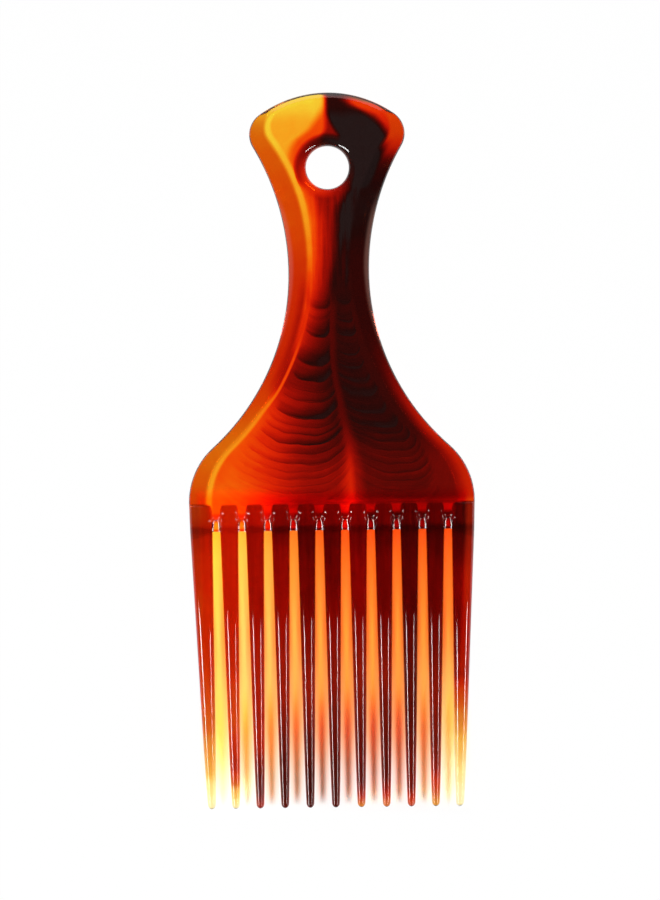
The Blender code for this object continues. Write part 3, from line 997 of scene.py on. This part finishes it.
dyeForm = {
    "wander": (160.0, 2.0),  # scale and detail of the noise, as in the next ones
    "wanderBy": (1.0, 2.0),
    "streak": (1.0, 2.0),
    "streakShape": (1.1, 0.06),
    "frontGrain": (0.9, 2.5),
    "frontShape": 0.07,
    "mottle": (420.0, 3.0),
    "leftGap": 0.6,
    "rightGap": 0.8,
    "plateMost": 0.965,
    "lipLevel": 0.76,
    "lipTurn": 0.20,
    # How wide the painted highlight along the left ridge is
    "lineCore": 0.15,
    "lineSoft": 1.1,
    "lineNarrowing": -0.4,
    "outerFrom": 107.0,
    "outerLean": 0.0515,
}


def line(net, name):
    return net.curve(net.at["wavyAlong"], 0.0, drawnTo, plasticLines[name], widest)


def level(net, name):
    return net.curve(net.at["along"], 0.0, drawnTo, dyeLevels[name], 1.0)


def headAmount(net):
    belowHole = net.draw("belowHole")
    amount = net.draw("ground")
    for name, (above, below, dye) in headLines.items():
        away = net.minus(net.at["wavyAcross"], line(net, name))
        net.at["pastLine"] = net.over(away, net.blend(belowHole, above, below))
        amount = net.scaled(net.draw("pastLine"), dye, amount)
    return net.plus(net.calc("MINIMUM", amount, net.draw("most")), net.draw("neckStreaks"))


def frontShade(net, streaks, name, left, right):
    # How dark the fronts between two lines make the plastic
    width = net.minus(right, left)
    share = net.over(net.minus(net.at["wavyAcross"], left), width)
    centre = flowFronts["centreShare"]
    fromCentre = net.minus(share, centre)
    out = net.calc("MAXIMUM", net.over(fromCentre, 1 - centre), net.over(fromCentre, -centre))
    net.at.update(frontShare=share, out=out)
    sag = net.scaled(width, flowFronts["sagSlope"], flowFronts["sagStart"])
    low = net.scaled(net.calc("POWER", out, flowFronts["sagPower"]), sag, net.at["wavyAlong"])
    ends = flowFronts[name]
    start, end = ends[0][0], ends[-1][0]
    number = net.curve(low, start, end, [(place, i) for i, (place, dark) in enumerate(ends)],
                       len(ends) - 1, straight=True)
    # A front darkens the stretch above its end, so each amount lies just before its place
    darkness = net.curve(low, start, end,
                         [(place - flowFronts["darkBefore"], dark) for place, dark in ends[1:]], 1.0)
    shade = net.group(flowFrontGroup, Number=number, Darkness=darkness, Out=out)["Shade"]
    grainPlace = net.point(net.times(net.at["wavyAcross"], dyeForm["frontShape"]), low)
    grain = net.minus(net.noise(grainPlace, *dyeForm["frontGrain"])["Fac"], 0.5)
    return net.plus(net.times(shade, net.draw("smoke")),
                    net.times(grain, streaks, net.draw("frontGrain")))


def plateAmount(net, streaks):
    # Darker towards a lighter middle line, with flow fronts on both sides
    at = net.at
    middle, leftRidge, rightSet = [line(net, name) for name in ("middle", "leftRidge", "rightSet")]
    at["fromMiddle"] = net.minus(at["wavyAcross"], middle)
    at["pastSet"] = net.minus(at["wavyAcross"], rightSet)
    at["plateShare"] = net.over(net.minus(at["wavyAcross"], leftRidge), net.minus(middle, leftRidge),
                                clamp=True)
    share = net.blend(net.draw("lowerPart"), at["plateShare"], net.draw("lowerShare"))
    left = frontShade(net, streaks, "left", line(net, "leftSet"), net.minus(middle, dyeForm["leftGap"]))
    left = net.plus(net.blend(share, level(net, "plateStart"), level(net, "plateEnd")), left)
    right = frontShade(net, streaks, "right", net.plus(middle, dyeForm["rightGap"]), rightSet)
    right = net.plus(level(net, "plateRight"), net.draw("toEdge"), right)
    plate = net.calc("MINIMUM", net.blend(net.draw("onRight"), left, right), dyeForm["plateMost"])
    at["middleShare"] = net.over(net.calc("ABSOLUTE", at["fromMiddle"]), net.draw("middleWidth"))
    return net.minus(plate, net.times(net.draw("onMiddle"), net.draw("middleLight")))


def lipAmount(net, amount):
    # Red on the left and below, nearly black above and on the right, with a ring of painted shade
    # where the lip begins
    down = net.minus(net.at["along"], hole["station"])
    radius = net.vector("LENGTH", "Value", net.point(net.at["across"], down))
    net.at.update(down=down, radius=radius)
    turn = net.over(net.minus(net.at["across"], down), radius)
    shade = net.plus(net.scaled(turn, dyeForm["lipTurn"], dyeForm["lipLevel"]), net.draw("inLip"))
    return net.plus(net.blend(net.draw("onLip"), amount, shade), net.draw("ring"))


def borderAmount(net, amount):
    left, right = [net.plus(level(net, name), net.draw(name)) for name in ("leftBorder", "rightBorder")]
    amount = net.blend(net.draw("onBorder"), amount, net.blend(net.draw("rightHalf"), left, right))
    # The painted highlight along the left ridge
    further = net.draw("lineFurther")
    fromLine = net.minus(net.at["ridge"], net.plus(net.draw("lineIn"), further))
    soft = net.scaled(further, dyeForm["lineNarrowing"], dyeForm["lineSoft"])
    onLine = net.step(net.calc("ABSOLUTE", fromLine), dyeForm["lineCore"], soft, 1.0, 0.0)
    return net.blend(net.times(onLine, net.draw("leftHalf")), amount, level(net, "leftRidge"))


def buildDyeAndPaintedLight():
    net, given, result = newGroup("dyeAndPaintedLight", dyeAndPaintedLightParts, dict(Mottle=0.05, Streaks=0.13), [
        "Amount", "BorderShade", "Tooth", "Rim", "EdgeHighlight", "Across", "Station"])
    place = net.combPlace()
    at = net.at

    # A slow wander, so that no line is quite even
    wander = net.new("SeparateColor")
    net.fill(wander, 0, net.noise(place, *dyeForm["wander"])["Color"])
    byAcross, byAlong = dyeForm["wanderBy"]
    at["wavyAcross"] = net.scaled(net.minus(wander.outputs[0], 0.5), byAcross, at["across"])
    at["wavyAlong"] = net.scaled(net.minus(wander.outputs[1], 0.5), byAlong, at["along"])
    byAcross, byAlong = dyeForm["streakShape"]
    streaks = net.point(net.times(at["across"], byAcross), net.times(at["along"], byAlong))
    at["streak"] = net.minus(net.noise(streaks, *dyeForm["streak"])["Fac"], 0.5)
    at["ridge"] = net.painted("fromRidge")
    at["toothSide"] = net.calc("COSINE", net.painted("toothPlace"))
    at["outer"] = net.scaled(net.minus(at["along"], dyeForm["outerFrom"]), dyeForm["outerLean"],
                             at["across"])
    fromArc = net.point(at["across"], net.minus(at["along"], handle["endRadius"]))
    fromEnd = net.minus(handle["endRadius"], net.vector("LENGTH", "Value", fromArc))
    at["pastRim"] = net.minus(fromEnd, net.times(net.draw("rimLeft"), net.draw("rimRight")))

    amount = net.blend(net.draw("onPlate"), headAmount(net), plateAmount(net, given["Streaks"]))
    amount = borderAmount(net, lipAmount(net, amount))
    rib = net.painted("rib")
    amount = net.blend(rib, net.plus(amount, net.draw("roots")),
                       net.plus(net.painted("toothShade"), net.draw("tooth")))
    amount = net.plus(amount, net.draw("outerTeeth"))
    uneven = net.times(net.minus(net.noise(place, *dyeForm["mottle"])["Fac"], 0.5), given["Mottle"])
    made = {"Amount": net.calc("ADD", amount, uneven, clamp=True), "BorderShade": net.draw("borderShade"),
            "Tooth": rib, "Rim": net.draw("rim"), "EdgeHighlight": net.draw("edge"), "Across": at["across"],
            "Station": at["along"]}
    for label, value in made.items():
        net.plug(value, result[label])
    return net.tree


dyeAndPaintedLightGroup = buildDyeAndPaintedLight()

combPlastic = {
    "refraction": 1.49,
    "roughness": 0.02,
    "edgeHighlightColour": (0.95, 0.46, 0.36, 1.0),
    "edgeHighlightShare": 0.15,
    # The painted grey reflection on the end's rim, as (across, colour)
    "rimReach": 16.0,
    "rimReflectionColours": ((-16, (0.20, 0.10, 0.06)), (-2, (0.10, 0.05, 0.05)), (1, (0.085, 0.075, 0.085)),
                   (8, (0.13, 0.115, 0.13)), (12, (0.36, 0.32, 0.35)), (15, (0.62, 0.57, 0.59))),
}

# The coloured light that the plastic lets onto the floor, yellow on the left to orange. A tooth
# gathers it like a lens, so it differs where the surface faces the lamp, the core, and towards
# its sides. The colours are (station, colour)
lightLet = {
    "from": 100.0,
    "coreLeft": ((100, (1.00, 0.80, 0.17)), (109, (1.00, 0.87, 0.21)), (114, (1.00, 0.94, 0.30)),
                 (122, (1.00, 0.99, 0.39)), (134, (1.00, 1.00, 0.49)), (148, (0.99, 0.89, 0.42)),
                 (158, (0.94, 0.80, 0.34)), (168, (0.88, 0.80, 0.52)), (175, (0.88, 0.80, 0.62))),
    "coreRight": ((100, (0.97, 0.17, 0.02)), (109, (0.97, 0.27, 0.02)), (114, (0.99, 0.37, 0.03)),
                  (120, (1.00, 0.49, 0.07)), (134, (1.00, 0.70, 0.17)), (146, (0.95, 0.58, 0.15)),
                  (158, (0.74, 0.34, 0.09)), (168, (0.50, 0.42, 0.35)), (175, (0.58, 0.52, 0.48))),
    "sideLeft": ((100, (0.95, 0.75, 0.18)), (109, (0.96, 0.81, 0.22)), (114, (0.98, 0.88, 0.31)),
                 (134, (0.92, 0.64, 0.26)), (148, (0.95, 0.72, 0.39)), (158, (0.96, 0.81, 0.52)),
                 (168, (0.99, 0.92, 0.72)), (175, (1.00, 0.97, 0.88))),
    "sideRight": ((100, (0.92, 0.17, 0.02)), (109, (0.92, 0.25, 0.02)), (114, (0.95, 0.34, 0.03)),
                  (134, (0.88, 0.36, 0.08)), (146, (0.92, 0.54, 0.25)), (158, (0.95, 0.64, 0.43)),
                  (168, (0.99, 0.87, 0.81)), (175, (1.00, 0.97, 0.95))),
    "leftToRight": dict(across=(-34, 3)),
    "clearTips": dict(high=0.8, across=(22, 25), along=(130, 155)),
    "lampTurn": math.radians(38.7),
    "coreStart": dict(low=0.95, high=0.84, along=(138, 156)),
    "coreEnd": dict(low=1.0, high=0.98, along=(138, 156)),
    # Towards the tips the lower faces alone tint the light, so a shadow ends in white
    "lowerOnly": dict(along=(146, 160), across=(-29.0, -26.5)),
    "lowerFaces": dict(low=1.0, high=-1.0, up=(-0.6, -0.1)),
    "power": dict(low=1.35, high=1.0, across=(-29.0, -26.5)),
}


def floorTint(net):
    rightShare = net.minus(net.draw("leftToRight"), net.draw("clearTips"))

    def tint(part):
        left, right = [net.ramp(net.at["along"], lightLet[part + side], lightLet["from"], combLength)
                       for side in ("Left", "Right")]
        return net.blendColour(rightShare, left, right)

    normal = net.new("NewGeometry").outputs["Normal"]
    net.at["up"] = net.axes(normal)["Z"]
    toLamp = (math.cos(lightLet["lampTurn"]), 0.0, math.sin(lightLet["lampTurn"]))
    facing = net.vector("DOT_PRODUCT", "Value", net.vector("ABSOLUTE", 0, normal), toLamp)
    onCore = net.step(facing, net.draw("coreStart"), net.draw("coreEnd"))
    power = net.scaled(net.draw("lowerOnly"), net.draw("lowerFaces"), net.draw("power"))
    return net.fill(net.new("Gamma"), 0, net.blendColour(onCore, tint("side"), tint("core")), power)


def tortoiseshell():
    material = bpy.data.materials.new("mottledPlastic")
    net = emptyNet(material, lightLet)
    dye = net.group(dyeAndPaintedLightGroup)
    net.at = {"across": dye["Across"], "along": dye["Station"]}
    colour = net.blendColour(dye["Tooth"], net.ramp(dye["Amount"], dyeColours),
                             net.ramp(dye["Amount"], toothColours))
    # A painted grey reflection on the end's rim
    reach = combPlastic["rimReach"]
    colour = net.blendColour(dye["Rim"], colour,
                             net.ramp(dye["Across"], combPlastic["rimReflectionColours"], -reach, reach))
    # A painted highlight inside the outline of the neck and shoulders
    edgeHighlightShare = net.times(dye["EdgeHighlight"], combPlastic["edgeHighlightShare"])
    colour = net.blendColour(edgeHighlightShare, colour, combPlastic["edgeHighlightColour"])
    # Painted shade on the border
    colour = net.vector("SCALE", 0, colour, None, None, dye["BorderShade"])
    shader = net.new("BsdfPrincipled")
    for name, value in (("Base Color", colour), ("Roughness", combPlastic["roughness"]),
                        ("IOR", combPlastic["refraction"]), ("Transmission Weight", 1.0)):
        net.plug(value, shader.inputs[name])
    through = net.fill(net.new("BsdfTransparent"), 0, floorTint(net))
    onShadow = net.new("LightPath").outputs["Is Shadow Ray"]
    net.finish("OutputMaterial", net.fill(net.new("MixShader"), 0, onShadow, shader.outputs[0], through))
    return material


comb.data.materials.append(tortoiseshell())
print("plastic made")


# Floor, lights and camera

studio = {
    "floorSize": 6000.0,
    "floorDrop": 0.05,
    "floorColour": (0.95, 0.95, 0.95, 1.0),
    "floorLit": 0.995,
    # Between the teeth the floor shows the light that falls there, and nothing is added
    "besideTeeth": dict(away=(31.5, 33.5)),
    "aboveTeeth": dict(along=(100, 96)),
    "belowTeeth": dict(along=(174, 178)),
    "roomSides": dict(low=0.06, high=0.10, right=(-0.3, 0.8)),
    "roomBehind": 0.14,
    "turnBehind": dict(back=(0.3, 0.8)),
    "roomTop": 0.02,
    "turnUp": dict(up=(0.1, 0.45)),
    "boxHeight": 215.0,
    "leftWidth": 60.0,
    "leftPower": 1.9,
    "leftBox": ((-234.0, -70.0), (-305.0, -450.0)),
    "rightWidth": 36.0,
    "rightPower": 1.05,
    "rightBox": ((234.0, -70.0), (305.0, -450.0)),
}

cameraPlan = {
    "distance": 900.0,
    "pixel": 0.24476,
    "pixelsHigh": 900,
    "across": -0.28,
    "turn": -0.781,
    "sensor": 36.0,
    "nearest": 0.01,
}


def floorMaterial():
    material = bpy.data.materials.new("paleFloor")
    net = emptyNet(material, studio)
    net.combPlace()
    net.at["away"] = net.calc("ABSOLUTE", net.at["across"])
    paths = net.new("LightPath").outputs
    seen = net.times(net.calc("MAXIMUM", paths["Is Camera Ray"], paths["Is Glossy Ray"]),
                     studio["floorLit"])
    seen = net.calc("MAXIMUM", seen, paths["Is Transmission Ray"])
    clear = net.calc("MAXIMUM", net.draw("besideTeeth"), net.draw("aboveTeeth"))
    clear = net.calc("MAXIMUM", clear, net.draw("belowTeeth"))
    matt = net.fill(net.new("BsdfDiffuse"), 0, studio["floorColour"])
    net.finish("OutputMaterial", net.fill(net.new("MixShader"), 0, net.times(seen, clear), matt,
                                          net.new("Emission").outputs[0]))
    return material


def addFloor():
    size = studio["floorSize"] * mm / 2
    bm = bmesh.new()
    corners = [bm.verts.new((x * size, y * size, 0.0)) for x, y in ((-1, -1), (1, -1), (1, 1), (-1, 1))]
    bm.faces.new(corners)
    floor = addMesh("floor", bm)
    floor.data.materials.append(floorMaterial())
    floor.location.z = -studio["floorDrop"] * mm


def addWorld():
    world = bpy.data.worlds.new("paleRoom")
    net = emptyNet(world, studio)
    net.at = dict(zip(("right", "back", "up"), net.axes(net.new("TexCoord").outputs["Generated"])))
    light = net.blend(net.draw("turnBehind"), net.draw("roomSides"), studio["roomBehind"])
    light = net.blend(net.draw("turnUp"), light, studio["roomTop"])
    light = net.blend(net.new("LightPath").outputs["Is Camera Ray"], light, 1.0)
    net.finish("OutputWorld", net.fill(net.new("Background"), 0, None, light))
    bpy.context.scene.world = world


def addSoftBox(name, ends, width, power):
    # A long lamp between two places beside the comb, turned towards it
    (startX, startY), (endX, endY) = ends
    light = bpy.data.lights.new(name, "AREA")
    light.shape = "RECTANGLE"
    light.size = math.dist(*ends) * mm
    light.size_y = width * mm
    light.energy = power
    along = Vector((startX - endX, startY - endY, 0.0)).normalized()
    place = Vector(((startX + endX) / 2, (startY + endY) / 2, studio["boxHeight"])) * mm
    back = (place - along * place.dot(along)).normalized()
    turned = Matrix((along, back.cross(along), back)).transposed()
    addObject(name, light).matrix_world = Matrix.Translation(place) @ turned.to_4x4()


def addCamera():
    data = bpy.data.cameras.new("camera")
    distance = cameraPlan["distance"]
    data.sensor_width = cameraPlan["sensor"]
    data.lens = cameraPlan["sensor"] * distance / (cameraPlan["pixel"] * cameraPlan["pixelsHigh"])
    data.clip_start = cameraPlan["nearest"]
    camera = addObject("camera", data)
    camera.location = (cameraPlan["across"] * mm, 0.0, (halfThickness + distance) * mm)
    camera.rotation_euler = (0.0, 0.0, math.radians(cameraPlan["turn"]))
    bpy.context.scene.camera = camera


addFloor()
addWorld()
addSoftBox("leftBox", studio["leftBox"], studio["leftWidth"], studio["leftPower"])
addSoftBox("rightBox", studio["rightBox"], studio["rightWidth"], studio["rightPower"])
addCamera()
bpy.context.scene.view_settings.view_transform = "Standard"
print("studio set")
